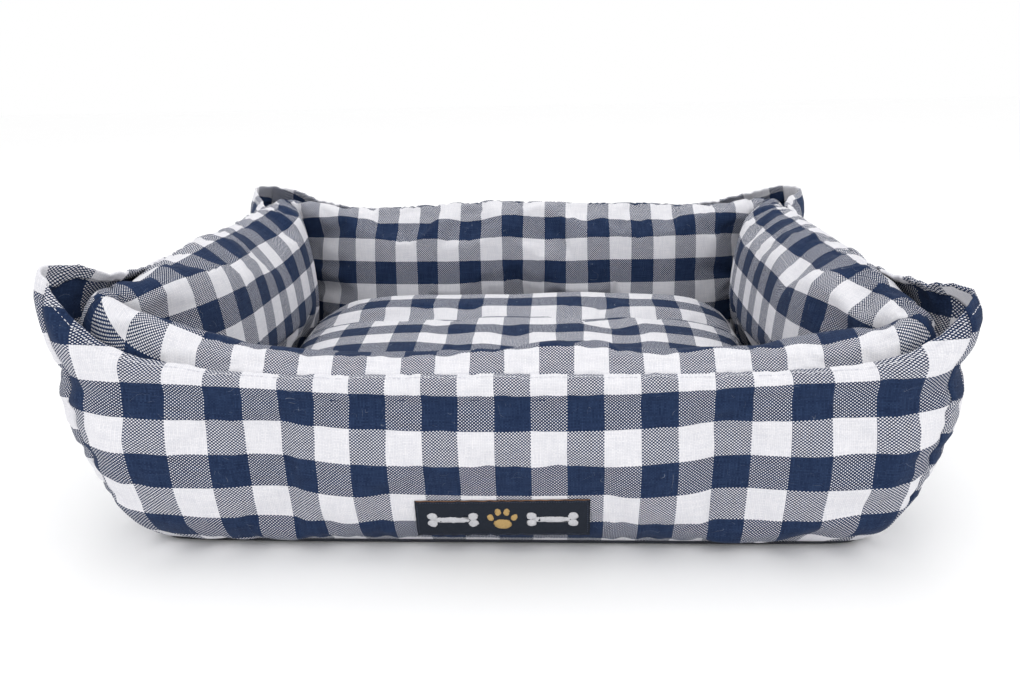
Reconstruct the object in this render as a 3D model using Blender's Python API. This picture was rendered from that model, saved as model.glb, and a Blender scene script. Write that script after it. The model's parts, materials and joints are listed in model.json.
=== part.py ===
"""Rectangular pet bed: four padded walls round a loose cushion.

Each wall is an outer and an inner fabric panel round a fibre bolster, closed by a zip under a hem
along its top outer edge. The walls meet at mitred corners that stand up as ears. They stand on a
fabric base that holds a foam pad. The cushion lifts out and has a zip along its rear edge.

Units are metres and +Z is up. The origin is under the middle of the bed, +X runs along its length,
and -Y is the front wall, which carries the woven label.
"""

import math

import bmesh
import bpy
from mathutils import Matrix, Vector

MM = 0.001

# Driving dimensions
HALF_WIDTH = 0.322          # half the length over the ears, along X
HALF_DEPTH = 0.274          # half the depth over the ears, along Y
CORNER_RADIUS = 0.040       # outer corners, seen from above
INNER_CORNER_RADIUS = 0.006
FABRIC = 1.6 * MM           # cover cloth with its seam allowance
GAP = 0.4 * MM              # between pieces that touch on the real bed
SEAM_GAP = 0.5 * MM         # on each side of a mitre seam
BOLSTER_END = 0.8           # share of a wall's last segment that its bolster reaches
RISE_START = 0.62           # stations, as shares of a wall's half length: where its top starts to
ARC_START = 0.90            # rise, and where it starts to turn round the corner

# Wall cross-section in mm: inset from the ear outline and height, from the bottom seam over to the floor
MIDDLE_SECTION = [
    (46, 4), (31, 20), (21, 48), (18, 80), (22, 110), (34, 130),
    (52, 139), (70, 131), (81, 108), (86, 76), (84, 42), (77, 15),
]
CORNER_SECTION = [
    (42, 4), (26, 28), (13, 70), (4, 118), (2, 162), (9, 197),
    (26, 212), (45, 200), (58, 158), (66, 104), (70, 58), (70, 15),
]
COIL_SHARE = 0.445          # where the zip coil lies along the section
OUTER_KNOTS = 7             # points along the section below the zip tape, and past it
INNER_KNOTS = 9
RISE_STEPS = 4              # segments along the rise and round the turn
TURN_STEPS = 2

# Zip
TAPE_HALF = 11 * MM
TAPE_THICK = 0.8 * MM
COIL_HALF = 2.5 * MM
COIL_HIGH = 2.2 * MM
LIP_HIGH = 4.0 * MM         # how far the hem stands proud beside the coil
COIL_CLEAR = 5.5 * MM       # from the coil's middle to the panel edges
SLIDER_LONG = 13 * MM
TAB_LONG = 24 * MM

# Base and cushion
BASE_INSET = 0.042
BASE_THICK = 2.0 * MM
FLOOR_INSET = 0.0790
PAD_TOP = 14 * MM
FLOOR_THICK = 1.5 * MM
CUSHION_HALF_WIDTH = 0.228
CUSHION_HALF_DEPTH = 0.178
CUSHION_RADIUS = 0.045
CUSHION_BOTTOM = 17 * MM
CUSHION_RIM_LOW = 48 * MM
CUSHION_RIM_HIGH = 66 * MM
CUSHION_CROWN = 104 * MM
CUSHION_ZIP_HALF = 0.150

# Woven label on the front wall
LABEL_HALF = 0.063
LABEL_THICK = 0.8 * MM

WALLS = {
    # name: (along, outward, half length, half distance, height scale of its middle)
    "front": (Vector((1, 0, 0)), Vector((0, -1, 0)), HALF_WIDTH, HALF_DEPTH, 1.05),
    "right": (Vector((0, 1, 0)), Vector((1, 0, 0)), HALF_DEPTH, HALF_WIDTH, 1.38),
    "back": (Vector((-1, 0, 0)), Vector((0, 1, 0)), HALF_WIDTH, HALF_DEPTH, 1.36),
    "left": (Vector((0, -1, 0)), Vector((-1, 0, 0)), HALF_DEPTH, HALF_WIDTH, 1.42),
}
ZIP_PARK = {"front": 0.150, "back": 0.150, "left": 0.120, "right": 0.120}

COLOURS = {
    "check_cotton": (0.33, 0.36, 0.45, 0.95, 0.0),
    "base_cloth": (0.05, 0.06, 0.09, 0.9, 0.0),
    "fibre_fill": (0.88, 0.88, 0.86, 1.0, 0.0),
    "foam": (0.80, 0.80, 0.74, 1.0, 0.0),
    "zip_tape": (0.03, 0.05, 0.12, 0.8, 0.0),
    "zip_metal": (0.55, 0.56, 0.58, 0.3, 1.0),
    "label": (0.02, 0.025, 0.04, 0.6, 0.0),
}


def clear_scene():
    for obj in list(bpy.data.objects):
        bpy.data.objects.remove(obj)


def material(slot):
    red, green, blue, roughness, metallic = COLOURS[slot]
    found = bpy.data.materials.get(slot)
    if found:
        return found
    made = bpy.data.materials.new(slot)
    made.use_nodes = True
    shader = made.node_tree.nodes["Principled BSDF"]
    shader.inputs["Base Color"].default_value = (red, green, blue, 1)
    shader.inputs["Roughness"].default_value = roughness
    shader.inputs["Metallic"].default_value = metallic
    return made


def add_object(name, slot, mesh_data, origin=Vector((0, 0, 0)), parent=None):
    """Puts a bmesh, built in world space, into an object whose origin is at that point."""
    bmesh.ops.recalc_face_normals(mesh_data, faces=mesh_data.faces)
    if mesh_data.calc_volume(signed=True) < 0:
        bmesh.ops.reverse_faces(mesh_data, faces=mesh_data.faces)
    mesh_data.transform(Matrix.Translation(-origin))
    mesh = bpy.data.meshes.new(name)
    mesh_data.to_mesh(mesh)
    mesh_data.free()
    mesh.shade_smooth()
    mesh.set_sharp_from_angle(angle=math.radians(40))
    mesh.materials.append(material(slot))
    obj = bpy.data.objects.new(name, mesh)
    bpy.context.scene.collection.objects.link(obj)
    obj.location = origin
    if parent:
        obj.parent = parent
        obj.location = origin - parent.location
    return obj


def spline_points(knots, steps=8):
    """A smooth curve through the knots, as points in metres."""
    points = []
    padded = [knots[0]] + knots + [knots[-1]]
    for a, b, c, d in zip(padded, padded[1:], padded[2:], padded[3:]):
        for i in range(steps):
            t = i / steps
            points.append(Vector([
                MM * 0.5 * (
                    2 * b[k]
                    + (c[k] - a[k]) * t
                    + (2 * a[k] - 5 * b[k] + 4 * c[k] - d[k]) * t * t
                    + (3 * b[k] - a[k] - 3 * c[k] + d[k]) * t * t * t
                )
                for k in (0, 1)
            ]))
    points.append(Vector(knots[-1]) * MM)
    return points


class Outline:
    """One wall section, read by the share of its length."""

    def __init__(self, knots):
        self.points = spline_points(knots)
        self.along = [0.0]
        for a, b in zip(self.points, self.points[1:]):
            self.along.append(self.along[-1] + (b - a).length)
        self.length = self.along[-1]

    def at(self, share):
        distance = min(max(share, 0.0), 1.0) * self.length
        i = max(1, next(n for n, d in enumerate(self.along) if d >= distance - 1e-12))
        step = self.along[i] - self.along[i - 1]
        return self.points[i - 1].lerp(self.points[i], (distance - self.along[i - 1]) / step)


MIDDLE = Outline(MIDDLE_SECTION)
CORNER = Outline(CORNER_SECTION)
HEM = OUTER_KNOTS           # the section point at the outer panel's top edge
LAST = OUTER_KNOTS + INNER_KNOTS + 3


def spread(first, last, count):
    return [first + (last - first) * i / (count - 1) for i in range(count)]


def corner_blend(station):
    """0 along a wall's straight part, rising smoothly to 1 at the mitre."""
    t = max(0.0, (abs(station) - RISE_START) / (1 - RISE_START))
    return t * t * (3 - 2 * t)


def section(wall, station):
    """A wall's section at a station, as points (inset, height) with some at the zip's own edges."""
    rise = WALLS[wall][4]
    blend = corner_blend(station)
    length = MIDDLE.length + (CORNER.length - MIDDLE.length) * blend
    zip_edges = [edge / length for edge in (-TAPE_HALF, -COIL_CLEAR, -COIL_HALF)]
    beside = [COIL_SHARE + e for e in zip_edges] + [COIL_SHARE - e for e in reversed(zip_edges)]
    shares = spread(0.0, beside[0], OUTER_KNOTS)[:-1] + beside + spread(beside[-1], 1.0, INNER_KNOTS)[1:]
    points = []
    for share in shares:
        middle = MIDDLE.at(share)
        points.append(Vector((middle.x, middle.y * rise)).lerp(CORNER.at(share), blend))
    return points


def offset_section(points, outward):
    """The section moved that far out of its surface, with the same number of points."""
    moved = []
    for i, point in enumerate(points):
        before = (point - points[i - 1]).normalized() if i else None
        after = (points[i + 1] - point).normalized() if i + 1 < len(points) else None
        before, after = before or after, after or before
        first, second = (Vector((-side.y, side.x)) for side in (before, after))
        mitre = (first + second).normalized()
        moved.append(point + mitre * (outward / mitre.dot(first)))
    return moved


def plan_point(wall, station, inset, height):
    """The place in the bed of a point at a station along a wall, -1 to 1, and an inset."""
    along, outward, half_length, half_distance, _ = WALLS[wall]
    radius = max(CORNER_RADIUS - inset, INNER_CORNER_RADIUS)
    straight = half_length - inset - radius
    turn = max(0.0, (abs(station) - ARC_START) / (1 - ARC_START))
    angle = turn * (math.pi / 4 - SEAM_GAP / radius)
    reach = straight * min(abs(station) / ARC_START, 1) + radius * math.sin(angle)
    distance = half_distance - inset - radius * (1 - math.cos(angle))
    return along * math.copysign(reach, station) + outward * distance + Vector((0, 0, height))


def stations():
    """Stations along a wall: its straight part, the rise to each corner, and the turn."""
    side = spread(RISE_START, ARC_START, RISE_STEPS + 1) + spread(ARC_START, 1.0, TURN_STEPS + 1)[1:]
    return [-s for s in reversed(side)] + side


def loft(name, slot, rings, ranks=None):
    """A closed solid through rings of points, with flat ends.

    Each patch between rings is split from its lower rank to its higher one, so that nested solids
    split the same way and keep their gap.
    """
    ranks = ranks or list(range(len(rings[0])))
    shape = bmesh.new()
    loops = [[shape.verts.new(point) for point in ring] for ring in rings]
    count = len(rings[0])
    for first, second in zip(loops, loops[1:]):
        for i in range(count):
            j = (i + 1) % count
            low, high = (i, j) if ranks[i] <= ranks[j] else (j, i)
            shape.faces.new((first[low], first[high], second[high]))
            shape.faces.new((first[low], second[high], second[low]))
    shape.faces.new(reversed(loops[0]))
    shape.faces.new(loops[-1])
    caps = [face for face in shape.faces if len(face.verts) > 4]
    bmesh.ops.triangulate(shape, faces=caps, ngon_method="EAR_CLIP")
    return add_object(name, slot, shape)


def wall_loft(name, slot, wall, outline, where, end_share=1.0):
    """Lofts an outline along a wall: pairs of a point's number on the section and its offset.

    The last segment at each end is cut to that share of its length.
    """
    rings = []
    for station in where:
        points = section(wall, station)
        offsets = {outward: offset_section(points, outward) for _, outward in outline}
        places = [offsets[outward][number] for number, outward in outline]
        rings.append([plan_point(wall, station, place.x, place.y) for place in places])
    for end, beside in ((0, 1), (-1, -2)):
        rings[end] = [b.lerp(a, end_share) for a, b in zip(rings[end], rings[beside])]
    return loft(name, slot, rings, [number for number, _ in outline])


def layer(first, last, top, thick):
    """Outline of a layer of cloth between two section points."""
    numbers = list(range(first, last + 1))
    return [(n, top) for n in numbers] + [(n, top - thick) for n in reversed(numbers)]


def outer_panel(wall):
    """Outer wall cloth from the bottom seam up to the hem, whose lip stands beside the zip."""
    outline = layer(0, HEM, 0.0, FABRIC)
    outline[HEM] = (HEM, LIP_HIGH)
    return wall_loft(f"{wall}_outer_panel", "check_cotton", wall, outline, stations())


def inner_panel(wall):
    """Inner wall cloth from the zip over the top and down to the floor."""
    outline = layer(HEM + 3, LAST, 0.0, FABRIC)
    return wall_loft(f"{wall}_inner_panel", "check_cotton", wall, outline, stations())


def zip_chain(wall):
    """Zip tape under both panel edges, with its coil standing up between them."""
    top = -FABRIC - GAP
    outline = layer(HEM - 1, HEM + 4, top, TAPE_THICK)
    coil = [(HEM + 1, top + COIL_HIGH), (HEM + 2, top + COIL_HIGH)]
    outline = outline[:3] + coil + outline[3:]
    where = stations()[TURN_STEPS:-TURN_STEPS]
    return wall_loft(f"{wall}_zip_chain", "zip_tape", wall, outline, where, 0.9)


def bolster(wall):
    """Fibre-filled bolster that fills a wall's pocket."""
    depth = FABRIC + TAPE_THICK + 2 * GAP
    outline = [(n, -depth) for n in range(LAST + 1)]
    return wall_loft(f"{wall}_bolster", "fibre_fill", wall, outline, stations(), BOLSTER_END)


def label():
    """Woven label sewn low on the middle of the front wall, on the second side of its section."""
    low, high = section("front", 0.0)[1:3]
    spine = [low, low.lerp(high, 0.5), high]
    back = offset_section(spine, GAP)
    face = offset_section(spine, GAP + LABEL_THICK)
    rings = [
        [Vector((x, place.x - HALF_DEPTH, place.y)) for place in back + face[::-1]]
        for x in (-LABEL_HALF, LABEL_HALF)
    ]
    return loft("woven_label", "label", rings)


def rounded_ring(half_x, half_y, radius, height, steps=4):
    """Points of a rounded rectangle at a height."""
    ring = []
    for quarter, (sx, sy) in enumerate(((1, 1), (-1, 1), (-1, -1), (1, -1))):
        centre = Vector((sx * (half_x - radius), sy * (half_y - radius), height))
        for i in range(steps + 1):
            angle = (quarter + i / steps) * math.pi / 2
            ring.append(centre + Vector((math.cos(angle), math.sin(angle), 0)) * radius)
    return ring


def slab(name, slot, inset, low, high):
    """A flat layer that follows the bed's outline at an inset."""
    radius = max(CORNER_RADIUS - inset, INNER_CORNER_RADIUS)
    size = (HALF_WIDTH - inset, HALF_DEPTH - inset, radius)
    return loft(name, slot, [rounded_ring(*size, low), rounded_ring(*size, high)])


def cushion_rings(profile):
    return [
        rounded_ring(
            CUSHION_HALF_WIDTH - inset,
            CUSHION_HALF_DEPTH - inset,
            max(CUSHION_RADIUS - inset * 0.25, 0.006),
            height,
        )
        for inset, height in profile
    ]


def crown(low, high, skin=0.0):
    """Rim-to-middle profile of one half of the cushion, as (inset, height) pairs."""
    reach = CUSHION_HALF_DEPTH - 0.022
    pairs = []
    for t in (0.0, 0.04, 0.12, 0.28, 0.55, 1.0):
        height = low + (high - low) * (1 - (1 - t) ** 2.6)
        pairs.append((skin + t * (reach - skin), height))
    return pairs


def cushion_cover_top():
    seam = (CUSHION_RIM_LOW + CUSHION_RIM_HIGH) / 2 + GAP / 2
    outside = crown(CUSHION_RIM_HIGH, CUSHION_CROWN)
    inside = crown(CUSHION_RIM_HIGH - FABRIC, CUSHION_CROWN - FABRIC, FABRIC)
    profile = outside[::-1] + [(0.0, seam), (FABRIC, seam)] + inside
    return loft("cushion_cover_top", "check_cotton", cushion_rings(profile))


def cushion_cover_bottom():
    seam = (CUSHION_RIM_LOW + CUSHION_RIM_HIGH) / 2 - GAP / 2
    reach = CUSHION_HALF_DEPTH - 0.022
    outside = [(0.0, CUSHION_RIM_LOW), (0.012, CUSHION_BOTTOM), (reach, CUSHION_BOTTOM)]
    inside = [(i + FABRIC * 0.6, h + FABRIC) for i, h in outside]
    profile = outside[::-1] + [(0.0, seam), (FABRIC, seam)] + inside
    return loft("cushion_cover_bottom", "check_cotton", cushion_rings(profile))


def cushion_fill():
    lift = FABRIC + GAP
    skin = lift + GAP
    reach = CUSHION_HALF_DEPTH - 0.024
    bottom = [(reach, CUSHION_BOTTOM + lift), (0.016, CUSHION_BOTTOM + lift)]
    rim = [(skin, CUSHION_RIM_LOW + lift + GAP)]
    top = crown(CUSHION_RIM_HIGH - lift - 2 * GAP, CUSHION_CROWN - lift - GAP, skin)
    return loft("cushion_fill", "fibre_fill", cushion_rings(bottom + rim + top))


def cushion_zip_chain():
    """Zip tape and coil along the cushion's rear edge."""
    middle = (CUSHION_RIM_LOW + CUSHION_RIM_HIGH) / 2
    back = CUSHION_HALF_DEPTH + GAP
    half_tape = (CUSHION_RIM_HIGH - CUSHION_RIM_LOW) / 2 - GAP
    foot, top = TAPE_THICK * 1.3, TAPE_THICK + COIL_HIGH
    outline = [
        (-half_tape, 0), (half_tape, 0), (half_tape, TAPE_THICK), (COIL_HALF, foot),
        (COIL_HALF * 0.6, top), (-COIL_HALF * 0.6, top), (-COIL_HALF, foot),
        (-half_tape, TAPE_THICK),
    ]
    rings = [
        [Vector((x, back + out, middle + up)) for up, out in outline]
        for x in (-CUSHION_ZIP_HALF, CUSHION_ZIP_HALF)
    ]
    return loft("cushion_zip_chain", "zip_tape", rings)


def prism(shape, outline, place, first, last):
    """Adds a closed prism: the outline in two directions of a frame, extruded along the third."""
    loops = [
        [shape.verts.new(place(a, b, depth)) for a, b in outline] for depth in (first, last)
    ]
    count = len(outline)
    for i in range(count):
        j = (i + 1) % count
        shape.faces.new((loops[0][i], loops[0][j], loops[1][j], loops[1][i]))
    shape.faces.new(reversed(loops[0]))
    shape.faces.new(loops[1])


def zip_slider(name, centre, along, up):
    """Channel that rides over the coil, with an arch on top that holds the pull tab."""
    across = up.cross(along)
    half_long, half_wide, coil_half = SLIDER_LONG / 2, 4.5 * MM, 3.3 * MM
    foot, roof, top = -1.5 * MM, 0.6 * MM, 2.0 * MM
    channel = [
        (-half_wide, foot), (-coil_half, foot), (-coil_half, roof), (coil_half, roof),
        (coil_half, foot), (half_wide, foot), (half_wide, top), (-half_wide, top),
    ]
    arch_out, arch_in, arch_top, arch_under = 4.2 * MM, 3.2 * MM, 5.0 * MM, 4.0 * MM
    arch = [
        (-arch_out, roof + MM), (-arch_out, arch_top), (arch_out, arch_top),
        (arch_out, roof + MM), (arch_in, roof + MM), (arch_in, arch_under),
        (-arch_in, arch_under), (-arch_in, roof + MM),
    ]
    body, bridge = bmesh.new(), bmesh.new()
    prism(body, channel, lambda a, b, d: centre + across * a + up * b + along * d,
          -half_long, half_long)
    prism(bridge, arch, lambda a, b, d: centre + along * a + up * b + across * d,
          -1.0 * MM, 1.0 * MM)
    slider = add_object(name, "zip_metal", body, centre)
    helper = add_object(f"{name}_bridge", "zip_metal", bridge, centre)
    union = slider.modifiers.new("bridge", "BOOLEAN")
    union.operation = "UNION"
    union.object = helper
    helper.hide_render = True
    helper.display_type = "WIRE"
    return slider


def pull_tab(name, pivot, along, up, parent):
    """Flat tab whose crossbar turns under the slider's arch; its origin is on the pivot."""
    across = up.cross(along)
    half_thick, half_wide, window = 0.6 * MM, 4.0 * MM, 2.6 * MM
    outer = [(-0.6 * MM, -half_wide), (TAB_LONG, -half_wide * 0.8),
             (TAB_LONG, half_wide * 0.8), (-0.6 * MM, half_wide)]
    inner = [(0.6 * MM, -window), (6.2 * MM, -window), (6.2 * MM, window), (0.6 * MM, window)]
    shape = bmesh.new()
    layers = []
    for height in (-half_thick, half_thick):
        layers.append([
            [shape.verts.new(pivot + along * a + across * b + up * height) for a, b in edge]
            for edge in (outer, inner)
        ])
    for i in range(4):
        j = (i + 1) % 4
        for outside, inside in layers:
            shape.faces.new((outside[i], outside[j], inside[j], inside[i]))
        for edge in (0, 1):
            low, high = layers[0][edge], layers[1][edge]
            shape.faces.new((low[i], low[j], high[j], high[i]))
    return add_object(name, "zip_metal", shape, pivot, parent)


def zip_hardware(name, centre, along, up):
    """A slider at the end of its zip, with its tab lying along the coil."""
    slider = zip_slider(f"{name}_zip_slider", centre, along, up)
    pull_tab(f"{name}_zip_pull", centre + up * 3.0 * MM, along, up, slider)


def wall_zip_hardware(wall):
    along, outward, _, distance, _ = WALLS[wall]
    points = section(wall, 0.0)
    low, high = points[HEM + 1], points[HEM + 2]
    place = low.lerp(high, 0.5)
    side = (high - low).normalized()
    up = outward * side.y + Vector((0, 0, side.x))
    centre = along * ZIP_PARK[wall] + outward * (distance - place.x) + Vector((0, 0, place.y))
    zip_hardware(wall, centre, along, up)


def build_bed():
    clear_scene()
    slab("base_underside", "base_cloth", BASE_INSET, 0.0, BASE_THICK)
    slab("base_foam_pad", "foam", FLOOR_INSET, BASE_THICK + GAP, PAD_TOP)
    slab("floor_panel", "check_cotton", FLOOR_INSET, PAD_TOP + GAP, PAD_TOP + GAP + FLOOR_THICK)
    for wall in WALLS:
        outer_panel(wall)
        inner_panel(wall)
        zip_chain(wall)
        bolster(wall)
        wall_zip_hardware(wall)
    label()
    cushion_cover_top()
    cushion_cover_bottom()
    cushion_fill()
    cushion_zip_chain()
    coil_base = CUSHION_HALF_DEPTH + GAP + TAPE_THICK + COIL_HIGH - 0.2 * MM
    middle = (CUSHION_RIM_LOW + CUSHION_RIM_HIGH) / 2
    zip_hardware("cushion", Vector((-0.125, coil_base, middle)), Vector((-1, 0, 0)), Vector((0, 1, 0)))


build_bed()
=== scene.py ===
"""Looks of a rectangular gingham pet bed: cloth panels over four stuffed walls, round a loose cushion.

Every panel is a grid of cloth whose UV map is its flat cut in metres, so the check and the weave
follow the cloth. The panels start from the bed's own form and are then settled by cloth simulation,
which gathers them along their seams.
"""
import json
import math

import bpy
import numpy as np
from mathutils import Matrix, Vector

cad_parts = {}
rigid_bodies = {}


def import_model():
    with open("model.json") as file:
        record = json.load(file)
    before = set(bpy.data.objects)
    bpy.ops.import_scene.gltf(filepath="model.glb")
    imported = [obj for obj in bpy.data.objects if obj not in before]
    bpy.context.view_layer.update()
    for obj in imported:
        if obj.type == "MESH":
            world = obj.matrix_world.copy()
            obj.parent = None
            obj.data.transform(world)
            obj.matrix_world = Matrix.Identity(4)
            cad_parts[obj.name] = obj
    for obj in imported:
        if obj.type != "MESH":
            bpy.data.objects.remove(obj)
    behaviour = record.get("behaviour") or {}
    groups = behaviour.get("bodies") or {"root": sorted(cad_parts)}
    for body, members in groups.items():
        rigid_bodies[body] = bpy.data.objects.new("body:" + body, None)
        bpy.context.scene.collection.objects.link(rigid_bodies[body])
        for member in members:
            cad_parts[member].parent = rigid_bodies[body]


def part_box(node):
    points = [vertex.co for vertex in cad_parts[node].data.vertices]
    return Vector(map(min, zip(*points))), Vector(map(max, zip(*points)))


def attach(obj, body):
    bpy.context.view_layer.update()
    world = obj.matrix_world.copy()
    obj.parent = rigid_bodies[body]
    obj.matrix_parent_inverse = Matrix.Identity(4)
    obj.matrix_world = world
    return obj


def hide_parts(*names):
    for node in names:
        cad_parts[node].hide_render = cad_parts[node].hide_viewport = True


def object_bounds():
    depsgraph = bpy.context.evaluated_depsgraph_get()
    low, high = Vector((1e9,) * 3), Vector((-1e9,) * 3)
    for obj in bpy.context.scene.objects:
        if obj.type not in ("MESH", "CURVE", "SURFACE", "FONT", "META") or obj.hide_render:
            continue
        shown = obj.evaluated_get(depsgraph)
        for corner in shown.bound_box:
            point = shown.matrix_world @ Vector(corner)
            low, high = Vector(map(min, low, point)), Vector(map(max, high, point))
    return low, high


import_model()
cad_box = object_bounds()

MM = 0.001
CHECK = 25.4 * MM           # one stripe of the gingham
CLOTH = 1.0 * MM            # thickness of the cotton
STEP = 4.5 * MM             # distance between the columns of a panel's grid
OUTER_ROWS = 44             # rows of an outer cover up to its hem fold

# Outline of the bed over its ears, in plan.
LOW, HIGH = (Vector(corner) for corner in cad_box)
HALF_WIDTH = HIGH.x + 5 * MM
HALF_DEPTH = HIGH.y + 5 * MM
EAR_RADIUS = 58 * MM        # plan radius of a corner at the outline; it shrinks with the inset
SEAM_RADIUS = 10 * MM       # and is never less than this

# Sections of a wall in mm: inset from the outline and height. The middle one is for a wall of unit
# height; it runs from the bottom seam over the top and down inside.
MIDDLE = [
    (46, 4), (31, 20), (21, 48), (18, 80), (22, 110), (34, 130),
    (53, 141), (70, 133), (81, 110), (86, 76), (84, 42), (77, 15),
]
OUTER_CORNER = [
    (52, 3), (44, 12), (33, 42), (21, 76), (13, 106), (11, 130), (12, 146), (4, 168), (1, 188), (6, 204),
]
INNER_CORNER = [(13, 150), (18, 180), (31, 196), (47, 189), (60, 158), (68, 108), (71, 58), (71, 16)]
WAIST = 146                 # height in mm at which an ear's collar starts
EAR_TIP = 204               # height in mm of a plain ear

# The hem flap covers the zip: distance from the coil and height over the wall, in mm.
FLAP = {
    "front": [(-11, 0.8), (-7, 3.8), (-4, 5.4), (0, 6.2), (3.5, 5.2), (6.2, 2.8)],
    "side": [(-11, 0.8), (-7, 3.8), (-4, 5.4), (0, 6.4), (8, 5.8), (15, 4.6), (21, 3.0)],
    "back": [(-11, 0.8), (-7, 3.8), (-4, 5.4), (0, 6.4), (6, 5.8), (12, 4.0)],
}
# Where along a half wall, from its middle 0 to its corner 1, the hem climbs into the ear.
CLIMB = {
    "front": ([0.5, 0.68, 0.84, 0.92, 0.97, 1], [0, 0.07, 0.24, 0.45, 0.78, 1]),
    "side": ([0.45, 0.6, 0.75, 0.86, 0.93, 1], [0, 0.06, 0.25, 0.75, 1.06, 1]),
    "back": ([0.5, 0.66, 0.8, 0.9, 0.96, 1], [0, 0.07, 0.25, 0.6, 0.88, 1]),
}
# name: (kind, along, outward, half length, half distance, unit heights, start and end corner)
WALLS = {
    "front": ("front", (1, 0), (0, -1), HALF_WIDTH, HALF_DEPTH, 1.10, ("front_left", "front_right")),
    "right": ("side", (0, 1), (1, 0), HALF_DEPTH, HALF_WIDTH, 1.40, ("front_right", "back_right")),
    "back": ("back", (-1, 0), (0, 1), HALF_WIDTH, HALF_DEPTH, 1.34, ("back_right", "back_left")),
    "left": ("side", (0, -1), (-1, 0), HALF_DEPTH, HALF_WIDTH, 1.44, ("back_left", "front_left")),
}
INNER_SHIFT = {"front": (-0.3, 0.37), "right": (0.5, 0.2), "back": (0.0, -0.46), "left": (0.5, -0.2)}
EARS = {"front_left": 211, "front_right": 188, "back_right": 203, "back_left": 211}


# ---------------------------------------------------------------- shapes of the walls

def spline(knots, samples=14):
    """Points in metres of a smooth curve through knots in mm, and the distance along it."""
    padded = np.array([knots[0], *knots, knots[-1]], float) * MM
    t = np.linspace(0, 1, samples, endpoint=False)[:, None]
    points = [
        0.5 * (2 * b + (c - a) * t + (2 * a - 5 * b + 4 * c - d) * t**2 + (3 * b - a - 3 * c + d) * t**3)
        for a, b, c, d in zip(padded, padded[1:], padded[2:], padded[3:])
    ]
    points = np.vstack(points + [padded[-1:]])
    return points, travelled(points)


def travelled(points):
    """Distance along a line of points, starting from 0."""
    steps = np.linalg.norm(np.diff(points, axis=0), axis=1)
    return np.concatenate([[0], np.cumsum(steps)])


def even(points, rows):
    """The line of points walked again in equal steps."""
    along = travelled(points)
    return np.stack([np.interp(np.linspace(0, along[-1], rows), along, c) for c in points.T], axis=-1)


def smooth(t):
    t = np.clip(t, 0, 1)
    return t * t * (3 - 2 * t)


def curve(x, table):
    """A table's value at x, with the table's bends softened."""
    room = np.clip((1 - x) / 0.03, 0, 1)
    return np.mean([np.interp(x + s * room, *table) for s in np.linspace(-0.03, 0.03, 7)], axis=0)


def waves(x, seed, count=5, longest=0.25):
    """A smooth wandering value along x, about -1 to 1."""
    draw = np.random.default_rng(seed)
    total = np.zeros_like(x)
    for k in range(count):
        size = 0.65**k
        total += size * np.sin(2 * np.pi * x / (longest * size) + draw.uniform(0, 2 * np.pi))
    return total / 2


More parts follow.
